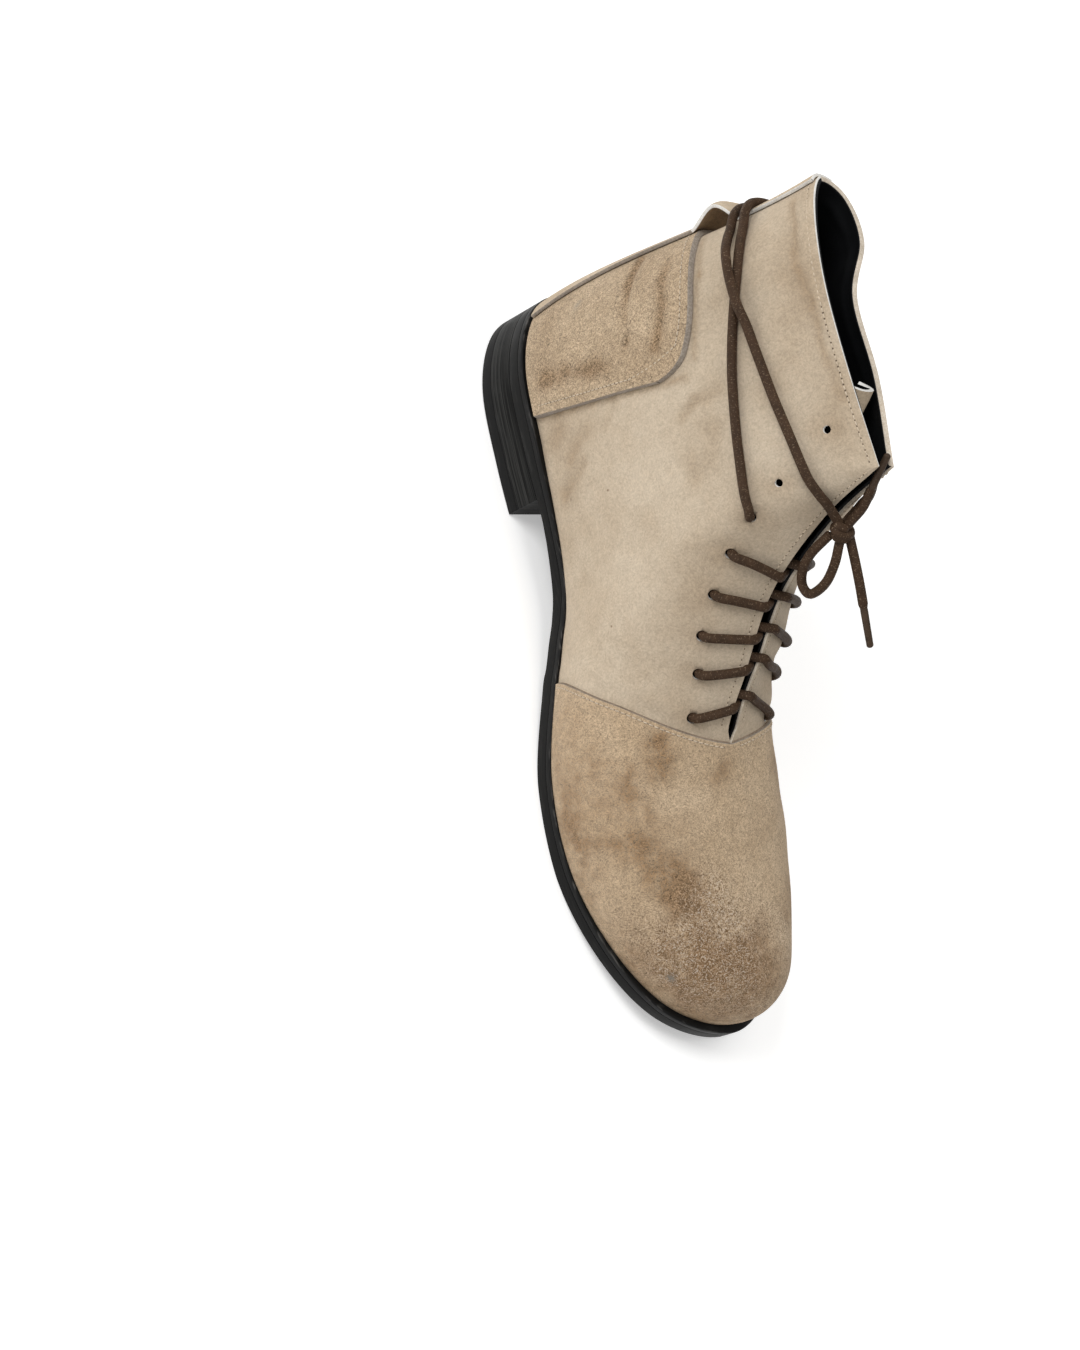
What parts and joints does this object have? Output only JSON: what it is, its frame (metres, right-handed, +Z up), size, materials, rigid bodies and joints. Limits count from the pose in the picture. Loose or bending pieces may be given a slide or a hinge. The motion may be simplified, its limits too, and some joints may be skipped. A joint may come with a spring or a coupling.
{
  "type": "lace-up suede ankle boot",
  "caption": "Right lace-up ankle boot in beige suede with a stepped vamp, heel counter, back strip with pull loop, low stacked heel and waxed cord lace tied round the shaft.",
  "frame": {"origin": "on the floor, under the middle of the box round the boot without its free lace", "axes": "+X to the toe, +Y to the inner side of the foot, +Z up"},
  "size_m": [0.2952, 0.0966, 0.167],
  "materials": {
    "suede": "napped suede",
    "counter_suede": "rough reverse suede",
    "lining_leather": "smooth black lining",
    "sole_leather": "satin black edge dressing",
    "heel_rubber": "matt black",
    "lace_cord": "round waxed braid",
    "lace_tip": "brown sleeve"
  },
  "bodies": {
    "root": {"upper": "suede", "heel_counter": "counter_suede", "back_strip": "suede", "tongue": "lining_leather", "insole": "lining_leather", "welt": "sole_leather", "outsole": "sole_leather", "heel_block": "sole_leather", "heel_lift": "heel_rubber", "lace_crossing_1": "lace_cord", "lace_crossing_2": "lace_cord", "lace_crossing_3": "lace_cord", "lace_crossing_4": "lace_cord", "lace_crossing_5": "lace_cord", "lace_wrap_1": "lace_cord", "lace_wrap_2": "lace_cord", "lace_knot": "lace_cord", "lace_loop": "lace_cord", "lace_end_1": "lace_cord", "lace_end_2": "lace_cord", "lace_tip_1": "lace_tip", "lace_tip_2": "lace_tip"}
  },
  "joints": []
}
